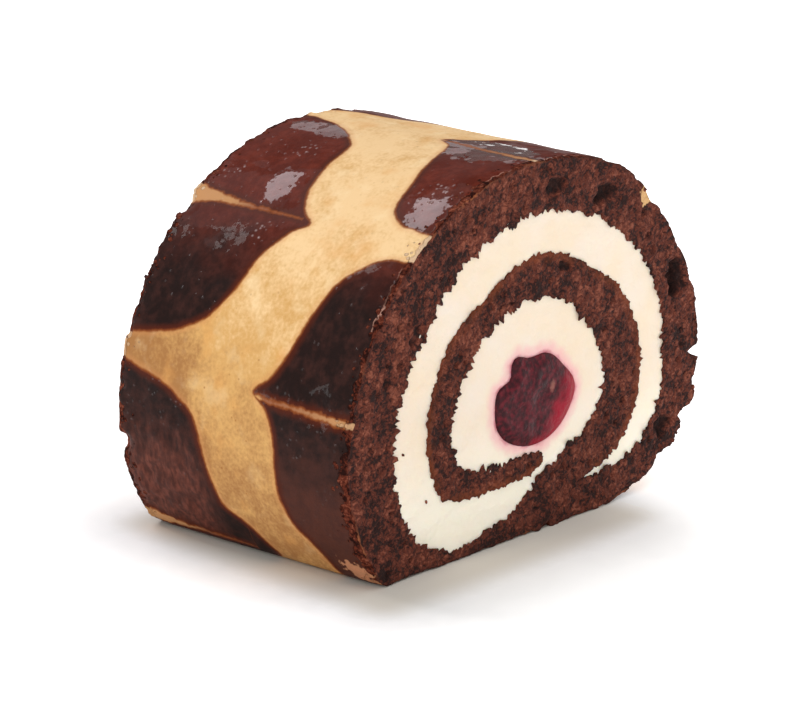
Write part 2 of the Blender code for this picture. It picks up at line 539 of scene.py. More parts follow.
def build_sponge(skin, crumb):
    table, skin_count = sponge_ring()
    ring, angle, side = table[:, :2], table[:, 2], table[:, 3]
    count = len(ring)
    normal = outward(ring)
    is_skin = np.arange(count) <= skin_count

    # s runs up the left side from the corner at the bottom left.
    length = np.concatenate([[0], np.cumsum(np.linalg.norm(np.diff(ring[: skin_count + 1], axis=0), axis=1))])
    corner = np.argmin(np.linalg.norm(ring[: skin_count + 1] - np.array(SKIN_START), axis=1))
    skin_s = length[corner] - length

    # In the seam, and at the sheet's outer end, the edge isn't torn.
    in_seam = ~is_skin & (side > 0) & (angle > SEAM_ANGLES[0])
    in_seam |= (side < 0) & (angle > TAIL_ANGLE - 1)
    in_seam |= is_skin & ((angle > turned[outer_end] - 6) | (angle < SEAM_ANGLES[1] + 6))
    calm = np.minimum(spread(np.where(in_seam, 0.0, 1.0), 6), np.where(in_seam, 0.0, 1.0))
    turning = np.linalg.norm(np.roll(normal, -3, axis=0) - np.roll(normal, 3, axis=0), axis=1)
    calm = calm * np.clip(6 * COLUMN / 4.0 / np.maximum(spread(turning, 5), 1e-6), 0.15, 1)

    def torn(y, seed, chips):
        """How far each column is moved at a cut face. The sheet's crumb side tears deeper than its skin."""
        spot = placed(ring, np.full(count, y))
        jagged = rough(spot, 0.62, 2, seed)
        teeth = 1.25 * jagged + 0.6 * rough(spot, 1.5, 2, seed + 1) + 0.4 * smooth(spot, 3.4, seed + 3)
        teeth = teeth * np.where(side < 0, 1.0, 0.5)
        ragged = 0.5 + 1.9 * ramp(ring[:, 0], 28.0, 42.0) * ramp(-ring[:, 1], -64.0, -38.0)
        edge = -0.22 - 0.3 * rough(spot, 1.5, 2, seed + 5) - 0.45 * ragged * ramp(smooth(spot, 3.2, seed + 6), -0.1, 0.7)
        return np.where(is_skin, edge - chip_depth(ring, chips), teeth) * calm + SEAM_CLOSED * (1 - calm)

    front_torn = torn(FRONT, 41, FRONT_CHIPS)
    back_torn = torn(BACK, 61, BACK_CHIPS)
    reach = np.where(is_skin, TORN_SKIN_REACH, TORN_CRUMB_REACH)

    steps = int(round((LENGTH - 2 * FIRST_FULL_ROW) / SKIN_ROW))
    inner_rows = np.linspace(FIRST_FULL_ROW, LENGTH - FIRST_FULL_ROW, steps + 1)
    depths = np.concatenate([EDGE_ROWS, inner_rows, LENGTH - np.array(EDGE_ROWS[::-1])]) + FRONT
    rows = len(depths)
    places = np.zeros((rows, count, 3))
    for j, y in enumerate(depths):
        near_front = np.clip(1 - (y - FRONT) / reach, 0, 1) ** 1.5
        near_back = np.clip(1 - (BACK - y) / reach, 0, 1) ** 1.5
        spot = placed(ring, np.full(count, y))
        sway = 0.32 * smooth(spot, 11.0, 21) + 0.12 * smooth(spot, 4.2, 22) + 0.04 * smooth(spot, 1.8, 23)
        sway = sway + lumpy(spot) * (0.3 * rough(spot, 2.4, 2, 24) + 0.16 * smooth(spot, 1.3, 25))
        push = np.where(is_skin, sway * calm * ramp(spot[:, 2], 0.3, 3.0), 0.0)
        push = push + front_torn * near_front + back_torn * near_back
        moved = ring + normal * push[:, None]
        moved[:, 1] = np.maximum(moved[:, 1], 0.0)
        places[j] = placed(moved, np.full(count, y))

    faces, materials = wall_faces(count, skin_count, rows)

    # The two cut faces.
    relief = np.zeros((rows, count))
    inside, inside_relief = [], []
    offset = rows * count
    for y, j, sign, spacing in ((FRONT, 0, -1, FRONT_SPACING), (BACK, rows - 1, 1, BACK_SPACING)):
        edge = places[j][:, [0, 2]] - np.array([LEAN * y, 0])
        points, triangles = fill([edge], spacing, 5 + j, lambda grid: near_sheet(grid, 1.4))
        spot = placed(points, np.full(len(points), y))
        height = crumb_relief(spot)
        height[:count] = np.clip(height[:count], -0.12, 0.3)
        height = np.maximum(height, -0.15 - 1.6 * np.maximum(0.0, distances(points, edge) - 1.0))
        spot[:, 1] = y + sign * height
        places[j] = spot[:count]
        relief[j] = height[:count]
        inside.append(spot[count:])
        inside_relief.append(height[count:])
        index = np.where(triangles < count, triangles + j * count, triangles - count + offset)
        faces += index.tolist()
        materials += [1] * len(index)
        offset += len(points) - count

    vertices = np.concatenate([places.reshape(-1, 3), *inside])
    section = np.column_stack([vertices[:, 0] - LEAN * vertices[:, 1], vertices[:, 2]])
    baked = (side > 0) & ~is_skin & (angle < SEAM_ANGLES[0] - 6)
    fields = {"rim": distances(section, ring[baked]), "crust": distances(section, ring[:skin_count])}
    fields["relief"] = np.concatenate([relief.ravel(), *inside_relief])
    on_skin = (np.arange(rows)[:, None] * count + np.arange(skin_count + 1)).ravel()
    pattern = skin_fields(np.tile(skin_s, rows), np.repeat(depths, skin_count + 1))
    for name, values in pattern.items():
        fields[name] = np.zeros(len(vertices))
        fields[name][on_skin] = values
    return make_piece("sponge_roll", vertices, faces, [skin, crumb], materials, fields)


def wall_faces(count, skin_count, rows):
    """The faces between the two cut edges, and their materials: 0 on the skin, 1 where the sheet is covered.

    The rows next to the cut faces have every column. Further in, the skin has every other column, and what
    is covered has every fourth column and only three rows.
    """
    fine = len(EDGE_ROWS)
    faces, materials = [], []
    for j in (*range(fine - 1), *range(rows - fine, rows - 1)):
        for i in range(count):
            k = (i + 1) % count
            faces.append((j * count + i, j * count + k, (j + 1) * count + k, (j + 1) * count + i))
            materials.append(0 if i < skin_count else 1)

    full = list(range(fine, rows - fine))
    few = [full[0], full[len(full) // 2], full[-1]]
    coarse = [*range(0, skin_count, 2), *range(skin_count, count, 4)]
    for i, k in zip(coarse, coarse[1:] + coarse[:1]):
        between = [c % count for c in range(i, (k if k > i else count) + 1)]
        left = full if i <= skin_count else few
        right = full if k <= skin_count else few
        front_row, back_row = (fine - 1) * count, (rows - fine) * count
        made = [(*(front_row + c for c in between), full[0] * count + k, full[0] * count + i)]
        made.append((*(back_row + c for c in reversed(between)), full[-1] * count + i, full[-1] * count + k))
        shared = [row for row in left if row in right]
        for near, far in zip(shared, shared[1:]):
            ahead = [row * count + i for row in left if near <= row <= far]
            back = [row * count + k for row in right if near <= row <= far]
            made.append((*ahead, *reversed(back)))
        faces += made
        materials += [0 if i < skin_count else 1] * len(made)
    return faces, materials


# ---------------------------------------------------------------------------------------------------------
# The cream and the cherry
# ---------------------------------------------------------------------------------------------------------

CREAM_OVERLAP = 0.9  # how far the cream reaches into the sponge, so that no gap shows
CREAM_RECESS = 0.32  # how far its cut face lies behind the sponge's
CREAM_SPACING = 0.5


def ring_through(line, spacing):
    """A closed loop with even points."""
    return resample(np.vstack([line, line[:1]]), spacing, 1)


def smear(points):
    """How far the cream stands out of its cut face: soft swells, and fine drags of the knife."""
    angle, _ = polar(points[:, [0, 2]] - np.array([LEAN * FRONT, 0]))
    dragged = points * np.array([0.35, 1.0, 1.0])
    swell = 0.24 * smooth(points, 6.0, 81) + 0.13 * smooth(points, 2.6, 82)
    return swell + 0.08 * smooth(dragged, 1.3, 83) + 0.05 * rough(points, 0.9, 2, 84)


def swept(rings, spacing, depths, seed, lift):
    """A closed prism between two cut faces. lift gives how far each point stands out of its cut face."""
    points, triangles = fill(rings, spacing, seed)
    edge = sum(len(ring) for ring in rings)
    vertices, faces = [], []
    ends = []
    for y, sign in ((depths[0], -1), (depths[-1], 1)):
        spot = placed(points, np.full(len(points), y))
        spot[:, 1] += sign * lift(spot)
        ends.append(spot)
    vertices = [ends[0], ends[1]]
    faces = triangles.tolist() + (triangles + len(points)).tolist()
    starts = np.cumsum([0] + [len(ring) for ring in rings])
    for a, b in zip(starts, starts[1:]):
        for i in range(a, b):
            k = i + 1 if i + 1 < b else a
            faces.append((i, k, k + len(points), i + len(points)))
    assert edge <= len(points)
    return np.concatenate(vertices), faces


def build_cream(material):
    outline = ring_through(cut_face_loop("cream"), CREAM_SPACING)
    outline = outline + CREAM_OVERLAP * outward(outline)
    outline[:, 1] = np.maximum(outline[:, 1], 0.4)
    cherry = ring_through(cut_face_loop("cherry"), CREAM_SPACING)
    hole = cherry - CREAM_OVERLAP * outward(cherry)
    depths = (FRONT + CREAM_RECESS, BACK - CREAM_RECESS)
    vertices, faces = swept([outline, hole], CREAM_SPACING, depths, 3, smear)
    section = np.column_stack([vertices[:, 0] - LEAN * vertices[:, 1], vertices[:, 2]])
    fields = {"stain": distances(section, cherry)}
    return make_piece("cream_spiral", vertices, faces, [material], None, fields)


def build_cherry(material):
    outline = ring_through(cut_face_loop("cherry"), 0.45)
    middle = outline.mean(axis=0)

    def bulge(points):
        section = points[:, [0, 2]] - np.column_stack([LEAN * points[:, 1], np.zeros(len(points))])
        inside = ramp(distances(section, outline), 0.0, 2.2)
        lumps = 0.45 * smooth(points, 4.2, 91) + 0.22 * smooth(points, 1.7, 92)
        hollow = ramp(-np.linalg.norm(section - middle - np.array([1.5, 0.5]), axis=1), -3.2, -0.5)
        return -0.1 + inside * (0.7 + lumps) - 0.5 * hollow

    vertices, faces = swept([outline], 0.45, (FRONT, BACK), 4, bulge)
    return make_piece("cherry_core", vertices, faces, [material])


# ---------------------------------------------------------------------------------------------------------
# Loose crumbs
# ---------------------------------------------------------------------------------------------------------


def lump(random):
    """One small irregular crumb about 1 mm across, round the origin: its points and its faces."""
    bm = bmesh.new()
    bmesh.ops.create_icosphere(bm, subdivisions=2, radius=0.5)
    points = np.array([v.co for v in bm.verts])
    faces = [[v.index for v in face.verts] for face in bm.faces]
    bm.free()
    offset = random.uniform(0, 100, 3)
    scale = 1 + 0.5 * smooth(points + offset, 0.35, 5) + 0.3 * smooth(points + offset, 0.17, 6)
    squeeze = random.uniform(0.65, 1.25, 3)
    return points * scale[:, None] * squeeze, faces


def build_crumbs(material):
    random = np.random.default_rng(20)
    table, skin_count = sponge_ring()
    ring = table[:skin_count, :2]
    normal = outward(table[:, :2])[:skin_count]
    kinds = [lump(random) for _ in range(12)]
    spots = []
    for y, inward_sign, number, chips in ((FRONT, 1, 150, FRONT_CHIPS), (BACK, -1, 190, BACK_CHIPS)):
        chipped = chip_depth(ring, chips)
        for _ in range(number):
            i = random.integers(skin_count)
            size = 0.45 + 0.75 * random.uniform() ** 2
            depth = y + inward_sign * abs(random.normal(0.0, 0.6))
            sunk = -0.2 - 0.35 * size - random.uniform(0.0, 0.3) - chipped[i]
            at = ring[i] + normal[i] * sunk
            if 0.6 * size < at[1] < (64.0 if y > 0 else 100.0):
                spots.append((*placed(at[None, :], np.array([depth]))[0], size))
    for u, z, size in CREAM_CRUMBS:
        spots.append((*placed(np.array([[u, z]]), np.array([FRONT + CREAM_RECESS]))[0], size))
    vertices, faces, start = [], [], 0
    for x, y, z, size in spots:
        points, lump_faces = kinds[random.integers(len(kinds))]
        turn = Euler(random.uniform(0, 2 * math.pi, 3)).to_matrix()
        vertices.append(points @ np.array(turn) * size + np.array([x, y, z]))
        faces += [[v + start for v in face] for face in lump_faces]
        start += len(points)
    vertices = np.concatenate(vertices)
    return make_piece("loose_crumbs", vertices, faces, [material])


# ---------------------------------------------------------------------------------------------------------
# Materials
# ---------------------------------------------------------------------------------------------------------


def colour(red, green, blue):
    """A colour given as on a screen, from 0 to 255, in the linear values that a shader takes."""
    values = [c / 255 for c in (red, green, blue)]
    return (*(c / 12.92 if c < 0.04045 else ((c + 0.055) / 1.055) ** 2.4 for c in values), 1.0)


class Nodes:
    """A material and short ways to add nodes to it. A socket or a plain number goes in anywhere."""

    def __init__(self, name):
        self.material = bpy.data.materials.new(name)
        self.material.use_nodes = True
        self.tree = self.material.node_tree
        self.shader = self.tree.nodes["Principled BSDF"]
        coordinate = self.tree.nodes.new("ShaderNodeTexCoord")
        self.place = self.vector("SCALE", coordinate.outputs["Object"], scale=1 / MM)
        parts = self.add("ShaderNodeSeparateXYZ", Vector=self.place)
        self.x, self.y, self.z = parts.outputs

    def add(self, kind, **inputs):
        node = self.tree.nodes.new(kind)
        for name, value in inputs.items():
            self.feed(node.inputs[name.replace("_", " ")], value)
        return node

    def feed(self, socket, value):
        if isinstance(value, bpy.types.NodeSocket):
            self.tree.links.new(value, socket)
        elif value is not None:
            socket.default_value = value

    def vector(self, operation, first, second=None, scale=None):
        node = self.tree.nodes.new("ShaderNodeVectorMath")
        node.operation = operation
        self.feed(node.inputs[0], first)
        self.feed(node.inputs[1], second)
        if scale is not None:
            self.feed(node.inputs["Scale"], scale)
        return node.outputs[0]

    def length(self, vector):
        node = self.tree.nodes.new("ShaderNodeVectorMath")
        node.operation = "LENGTH"
        self.feed(node.inputs[0], vector)
        return node.outputs["Value"]

    def math(self, operation, *values):
        node = self.tree.nodes.new("ShaderNodeMath")
        node.operation = operation
        for socket, value in zip(node.inputs, values):
            self.feed(socket, value)
        return node.outputs[0]

    def sum(self, *terms):
        """Adds up terms, each a value or a pair of a value and its share."""
        total = None
        for term in terms:
            value, share = term if isinstance(term, tuple) else (term, 1.0)
            if total is None:
                total = self.math("MULTIPLY", value, share)
            else:
                total = self.math("MULTIPLY_ADD", value, share, total)
        return total

    def fade(self, value, low, high, to_low=0.0, to_high=1.0):
        """Goes from to_low at low to to_high at high, smoothly, and stays there."""
        node = self.add("ShaderNodeMapRange", Value=value, From_Min=low, From_Max=high)
        node.interpolation_type = "SMOOTHSTEP"
        node.inputs["To Min"].default_value = to_low
        node.inputs["To Max"].default_value = to_high
        return node.outputs[0]

    def field(self, name):
        node = self.tree.nodes.new("ShaderNodeAttribute")
        node.attribute_name = name
        return node.outputs["Fac"]

    def noise(self, size, detail=2.0, seed=0.0, place=None):
        """Soft noise from -1 to 1 with bumps of about this size in millimetres."""
        moved = self.vector("ADD", place or self.place, (seed * 17.3, seed * 5.7, seed * 11.1))
        node = self.add("ShaderNodeTexNoise", Vector=moved, Scale=1 / size, Detail=detail)
        return self.math("MULTIPLY_ADD", node.outputs["Fac"], 4.0, -2.0)

    def cells(self, size, seed=0.0, place=None):
        """The distance to the nearest cell's middle, and a random number for that cell."""
        moved = self.vector("ADD", place or self.place, (seed * 13.7, seed * 7.9, seed * 3.1))
        node = self.add("ShaderNodeTexVoronoi", Vector=moved, Scale=1 / size)
        number = self.add("ShaderNodeSeparateColor", Color=node.outputs["Color"])
        return node.outputs["Distance"], number.outputs[0]

    def mix(self, share, first, second):
        node = self.tree.nodes.new("ShaderNodeMix")
        node.data_type = "RGBA"
        self.feed(node.inputs[0], share)
        self.feed(node.inputs[6], first)
        self.feed(node.inputs[7], second)
        return node.outputs[2]

    def blend(self, share, first, second):
        """The same for numbers."""
        node = self.tree.nodes.new("ShaderNodeMix")
        self.feed(node.inputs[0], share)
        self.feed(node.inputs[2], first)
        self.feed(node.inputs[3], second)
        return node.outputs[0]

    def bump(self, height, normal=None):
        """The normal of a surface with this relief, in millimetres."""
        node = self.add("ShaderNodeBump", Height=height, Strength=1.0, Distance=MM, Normal=normal)
        return node.outputs[0]

    def finish(self, **inputs):
        for name, value in inputs.items():
            self.feed(self.shader.inputs[name.replace("_", " ")], value)
        return self.material


WAVE_LENGTH = 35.0  # of the glaze's broad waves along the roll
WAVE_HEIGHT = 0.5
WAVE_START = -0.4  # radians, so that crests and troughs lie where the lamp shows


PALE_CHIP = (34.4, -27.5, 59.6)  # a bit of the light skin bent over the front cut edge


def crumb_look(nodes):
    """The colour, with painted shade between the grains, and the fine relief of cut or torn chocolate sponge."""
    bent = nodes.add("ShaderNodeTexNoise", Vector=nodes.place, Scale=0.9, Detail=2.0).outputs["Color"]
    bent = nodes.vector("ADD", nodes.place, nodes.vector("SCALE", bent, scale=1.6))
    clump, clump_number = nodes.cells(1.05, 1.0, bent)
    grain, grain_number = nodes.cells(0.5, 2.0, bent)
    patch = nodes.noise(4.5, 2.0, 3.0)
    fine = nodes.noise(0.4, 2.0, 4.0)
    # Partly painted shade: each grain and clump is painted darker towards its edge, as shade in the gaps between them;
    # the random numbers and noise are the crumb's own tone.
    tone_and_gap_shade = nodes.sum((clump_number, 0.42), (grain_number, 0.36), (patch, 0.3), (fine, 0.14))
    tone_and_gap_shade = nodes.sum(tone_and_gap_shade, (clump, -0.5), (grain, -0.35))
    dark, middle, light = colour(38, 16, 12), colour(92, 42, 29), colour(136, 76, 57)
    base = nodes.mix(nodes.fade(tone_and_gap_shade, -0.36, 0.08), dark, middle)
    base = nodes.mix(nodes.fade(tone_and_gap_shade, 0.06, 0.55), base, light)
    height = nodes.sum((clump, -0.2), (grain, -0.16), (fine, 0.04))
    return base, height


def crumb_material():
    nodes = Nodes("sponge_crumb")
    base, height = crumb_look(nodes)
    rim, relief = nodes.field("rim"), nodes.field("relief")
    warm = nodes.fade(nodes.sum(rim, (nodes.noise(1.2, 3.0, 5.0), 0.9)), 0.1, 2.2, 0.6, 0.0)
    warm = nodes.math("MULTIPLY", warm, nodes.fade(nodes.noise(5.0, 2.0, 6.0), -0.8, 0.6, 0.2, 1.0))
    base = nodes.mix(warm, base, colour(122, 58, 28))
    crust = nodes.sum(nodes.field("crust"), (nodes.noise(1.3, 2.0, 7.0), 0.25))
    skin_line = nodes.fade(nodes.noise(9.0, 2.0, 8.0), 0.0, 0.9)
    skin_line = nodes.mix(skin_line, colour(70, 32, 24), colour(170, 100, 60))
    base = nodes.mix(nodes.fade(crust, 0.45, 0.8, 0.6, 0.0), base, skin_line)
    pale = nodes.vector("MULTIPLY", nodes.vector("SUBTRACT", nodes.place, PALE_CHIP), (0.6, 0.2, 0.4))
    pale = nodes.sum(nodes.length(pale), (nodes.noise(1.2, 3.0, 9.0), 0.35))
    base = nodes.mix(nodes.fade(pale, 0.8, 1.0, 0.9, 0.0), base, colour(222, 178, 122))
    # Painted shade: where the relief lies deep, in pores and hollows, the crumb is painted nearly black.
    pit_shade = nodes.fade(relief, -1.1, -0.15, 0.85, 0.0)
    base = nodes.mix(pit_shade, base, colour(26, 12, 10))
    return nodes.finish(Base_Color=base, Roughness=0.85, Specular_IOR_Level=0.25, Normal=nodes.bump(height))


def skin_material():
    nodes = Nodes("sponge_skin")
    cocoa, spine, half = nodes.field("cocoa"), nodes.field("spine"), nodes.field("spine_half")
    waver = nodes.sum((nodes.noise(3.0, 3.0, 1.0), 0.16), (nodes.noise(0.9, 2.0, 2.0), 0.08))
    inside = nodes.math("ADD", cocoa, waver)
    ravel = nodes.sum(spine, (nodes.noise(2.5, 3.0, 16.0), 0.22))
    off_spine = nodes.sum(nodes.math("ABSOLUTE", ravel), (half, -1.0), (nodes.noise(1.2, 3.0, 17.0), 0.3))

    # Beige: paler and lighter towards the top, darker and browner towards the bottom and lower down at the back, and
    # toasted in spots.
    tan_share = nodes.sum((nodes.noise(8.0, 2.0, 3.0), 0.28), (nodes.noise(2.2, 2.0, 4.0), 0.16))
    tan_share = nodes.sum(tan_share, (nodes.noise(0.7, 2.0, 5.0), 0.2), nodes.fade(nodes.z, 8.0, 68.0, 1.1, -0.1))
    tan_share = nodes.math("ADD", tan_share, nodes.math("MULTIPLY", nodes.fade(nodes.y, 4.0, 22.0), nodes.fade(nodes.z, 58.0, 44.0, 0.0, 0.85)))
    pale, tan, brown = colour(236, 201, 150), colour(208, 162, 100), colour(162, 114, 68)
    beige = nodes.mix(nodes.fade(tan_share, -0.3, 0.55), pale, tan)
    beige = nodes.mix(nodes.fade(tan_share, 0.45, 1.35), beige, brown)
    orange = nodes.sum((nodes.noise(4.5, 4.0, 22.0), 0.8), (nodes.noise(12.0, 1.0, 23.0), 0.4))
    beige = nodes.mix(nodes.fade(orange, 0.0, 1.1, 0.0, 0.5), beige, colour(220, 160, 90))
    wan = nodes.fade(nodes.noise(5.0, 4.0, 24.0), 0.1, 1.0, 0.0, 0.4)
    beige = nodes.mix(wan, beige, nodes.mix(nodes.fade(nodes.z, 20.0, 60.0), colour(214, 180, 130), colour(246, 222, 178)))
    fleck, fleck_number = nodes.cells(1.5, 6.0)
    fleck = nodes.math("MULTIPLY", nodes.fade(fleck, 0.04, 0.22, 1.0, 0.0), nodes.fade(fleck_number, 0.72, 0.9))
    fleck = nodes.math("MULTIPLY", fleck, nodes.fade(nodes.z, 62.0, 30.0, 0.15, 0.6))
    beige = nodes.mix(fleck, beige, colour(150, 88, 40))
    border = nodes.fade(inside, -1.3, -0.2, 0.0, 0.3)
    beige = nodes.mix(border, beige, colour(206, 142, 88))
    thread = nodes.mix(nodes.fade(half, 0.0, 0.7), colour(136, 82, 60), colour(188, 138, 92))
    beige = nodes.mix(nodes.fade(cocoa, 0.2, 1.5), beige, thread)

    # Cocoa: a brown margin, then dark, and painted redder and lighter towards the top as painted light, where more
    # light falls on it.
    depth = nodes.math("MINIMUM", inside, off_spine)
    margin = nodes.mix(nodes.fade(depth, 0.05, 0.7), colour(132, 70, 34), colour(76, 32, 20))
    red = nodes.fade(nodes.sum(nodes.z, (nodes.noise(8.0, 2.0, 7.0), 3.0)), 50.0, 66.0)
    lump = nodes.sum(nodes.z, (nodes.noise(3.0, 3.0, 28.0), 4.0))
    lump = nodes.math("MULTIPLY", nodes.fade(lump, 27.0, 15.0), nodes.fade(nodes.y, 4.0, 12.0))
    deep = nodes.mix(red, colour(34, 22, 20), colour(84, 28, 15))
    low_front = nodes.sum(nodes.z, (nodes.noise(4.0, 4.0, 30.0), 6.0))
    low_front = nodes.math("MULTIPLY", nodes.fade(low_front, 30.0, 14.0), nodes.fade(nodes.y, -6.0, -12.0, 0.0, 0.8))
    deep = nodes.mix(low_front, deep, colour(84, 46, 36))
    streaks = nodes.vector("MULTIPLY", nodes.place, (1.0, 1.0, 0.4))
    streaks = nodes.fade(nodes.noise(1.1, 3.0, 18.0, streaks), -0.7, 0.9)
    deep = nodes.mix(nodes.math("MULTIPLY", lump, nodes.math("MULTIPLY_ADD", streaks, 0.7, 0.3)), deep, colour(112, 62, 50))
    mottle = nodes.sum((nodes.noise(1.4, 3.0, 8.0), 0.6), (nodes.noise(5.0, 2.0, 25.0), 0.6))
    mottle = nodes.fade(mottle, -0.5, 1.0, 0.0, 0.75)
    deep = nodes.mix(mottle, deep, nodes.mix(red, colour(64, 37, 32), colour(110, 44, 29)))
    dark = nodes.mix(nodes.fade(depth, 0.5, 2.0), margin, deep)
    base = nodes.mix(nodes.fade(depth, -0.3, 0.25), beige, dark)

    # The torn edge next to a cut face.
    crumb, crumb_height = crumb_look(nodes)
    from_front, from_back = nodes.math("SUBTRACT", nodes.y, FRONT), nodes.math("SUBTRACT", BACK, nodes.y)
    from_cut = nodes.math("MINIMUM", from_front, nodes.math("ADD", from_back, 0.5))
    wide = nodes.fade(nodes.z, 14.0, 44.0, 1.1, 0.3)
    ragged = nodes.math("MULTIPLY", nodes.noise(2.4, 4.0, 9.0), nodes.math("ADD", wide, 0.4))
    tear = nodes.sum(from_cut, (ragged, -1.0), (wide, -1.0))
    spill, spill_number = nodes.cells(1.1, 19.0)
    spill = nodes.sum(spill, (spill_number, -0.8), nodes.fade(tear, 0.5, 5.0, 0.15, 0.75))
    torn = nodes.math("MAXIMUM", nodes.fade(tear, 0.45, 0.7, 1.0, 0.0), nodes.fade(spill, -0.05, 0.02, 1.0, 0.0))
    light_edge = nodes.mix(nodes.fade(nodes.z, 20.0, 55.0), colour(196, 146, 98), colour(232, 198, 160))
    light_edge = nodes.mix(nodes.fade(depth, -0.3, 0.2), nodes.mix(0.2, light_edge, crumb), crumb)
    # Painted highlight: a thin pinkish line just behind the torn edge, high on the front.
    glint = nodes.math("MULTIPLY", nodes.fade(tear, 0.5, 0.65), nodes.fade(tear, 0.8, 1.0, 1.0, 0.0))
    glint = nodes.math("MULTIPLY", glint, nodes.fade(nodes.noise(7.0, 2.0, 29.0), -0.4, 0.4, 0.0, 0.7))
    glint = nodes.math("MULTIPLY", glint, nodes.fade(nodes.z, 40.0, 54.0))
    glint = nodes.math("MULTIPLY", glint, nodes.fade(nodes.y, 0.0, 1.0, 1.0, 0.0))
    base = nodes.mix(glint, base, colour(206, 152, 132))
    base = nodes.mix(torn, base, light_edge)
    along, up = nodes.math("ADD", nodes.y, 24.0), nodes.math("SUBTRACT", nodes.z, 3.0)
    up = nodes.sum(up, (along, -0.4))
    scrape = nodes.add("ShaderNodeCombineXYZ", X=(nodes.math("MULTIPLY", along, 0.27)), Z=nodes.math("MULTIPLY", up, 0.5))
    scrape = nodes.sum(nodes.length(scrape.outputs[0]), (nodes.noise(1.5, 4.0, 26.0), 0.45), nodes.fade(nodes.x, -30.0, -20.0, 0.0, 5.0))
    scrape = nodes.fade(scrape, 0.8, 1.0, 0.85, 0.0)
    base = nodes.mix(scrape, base, nodes.mix(0.35, colour(226, 160, 118), crumb))

    # The glaze: a few broad waves along the roll, soft unevenness, and small bubbles.
    wave = nodes.sum((nodes.y, 2 * math.pi / WAVE_LENGTH), (nodes.noise(14.0, 1.0, 14.0), 0.5), WAVE_START)
    glaze = nodes.sum((nodes.math("SINE", wave), WAVE_HEIGHT), (nodes.noise(5.0, 1.0, 10.0), 0.07))
    glaze = nodes.sum(glaze, (nodes.noise(1.6, 1.0, 11.0), 0.014))
    bubble, bubble_number = nodes.cells(1.1, 12.0)
    bubble_number = nodes.sum(bubble_number, (nodes.noise(5.0, 1.0, 20.0), 0.2), (nodes.field("bubbles_and_painted_sparkle"), 0.7))
    bubble = nodes.math("MULTIPLY", nodes.fade(bubble, 0.0, 0.38, 1.0, 0.0), nodes.fade(bubble_number, 0.8, 0.95))
    # Painted highlight: high on the roll, in the bubbly places, bubbles are painted pale as sparkles of light.
    painted_sparkle = nodes.math("MULTIPLY", bubble, nodes.fade(nodes.field("bubbles_and_painted_sparkle"), 0.2, 0.6, 0.0, 0.45))
    painted_sparkle = nodes.math("MULTIPLY", painted_sparkle, nodes.fade(nodes.z, 44.0, 50.0))
    base = nodes.mix(painted_sparkle, base, colour(184, 160, 156))
    glaze = nodes.sum(glaze, (bubble, 0.14), (nodes.math("MULTIPLY", lump, nodes.noise(1.1, 2.0, 15.0)), 0.3))
    lip = nodes.fade(tear, 0.4, 0.95)
    glaze = nodes.sum(glaze, (lip, 0.15))
    fine = nodes.sum((nodes.noise(0.7, 2.0, 13.0), 0.012), (lip, 0.2))
    height = nodes.blend(torn, fine, crumb_height)
    pool = nodes.sum(nodes.field("pool"), (nodes.noise(2.4, 4.0, 21.0), 0.3), (nodes.noise(0.8, 2.0, 27.0), 0.12))
    pool = nodes.math("MAXIMUM", nodes.fade(pool, 0.1, 0.2), nodes.math("MULTIPLY", bubble, 0.8))
    shine = nodes.math("MULTIPLY", nodes.fade(depth, 0.1, 0.5, 0.15, 1.0), nodes.blend(pool, 0.05, 1.0))
    shine = nodes.math("MAXIMUM", shine, nodes.math("MULTIPLY", bubble, 0.7))
    shine = nodes.math("MULTIPLY", shine, nodes.fade(nodes.z, 8.0, 44.0, 0.5, 1.0))
    return nodes.finish(
        Base_Color=base,
        Roughness=nodes.blend(torn, 0.5, 0.85),
        Specular_IOR_Level=0.04,
        Normal=nodes.bump(height),
        Coat_Weight=nodes.math("MULTIPLY", shine, nodes.fade(torn, 0.0, 0.6, 1.0, 0.0)),
        Coat_Roughness=0.06,
        Coat_IOR=1.5,
        Coat_Normal=nodes.bump(glaze),
    )


def cream_material():
    nodes = Nodes("cream")
    stain = nodes.sum(nodes.field("stain"), (nodes.noise(2.2, 2.0, 1.0), 0.5))
    warm = nodes.fade(nodes.noise(9.0, 2.0, 2.0), -0.8, 0.9)
    base = nodes.mix(warm, colour(237, 222, 204), colour(237, 218, 192))
    # Painted light: the cream is painted paler and whiter towards the bottom, where less light reaches it.
    base = nodes.mix(nodes.fade(nodes.z, 28.0, 8.0, 0.0, 0.9), base, colour(252, 243, 224))
    base = nodes.mix(nodes.fade(stain, 0.4, 3.0, 0.8, 0.0), base, colour(238, 176, 178))
    base = nodes.mix(nodes.fade(stain, -0.2, 0.8, 0.8, 0.0), base, colour(200, 90, 112))
    height = nodes.sum((nodes.noise(1.1, 3.0, 3.0), 0.05), (nodes.noise(0.45, 2.0, 4.0), 0.02))
    return nodes.finish(
        Base_Color=base,
        Roughness=0.5,
        Specular_IOR_Level=0.35,
        Normal=nodes.bump(height),
        Subsurface_Weight=0.3,
        Subsurface_Radius=(2.0, 1.3, 0.8),
        Subsurface_Scale=MM,
    )


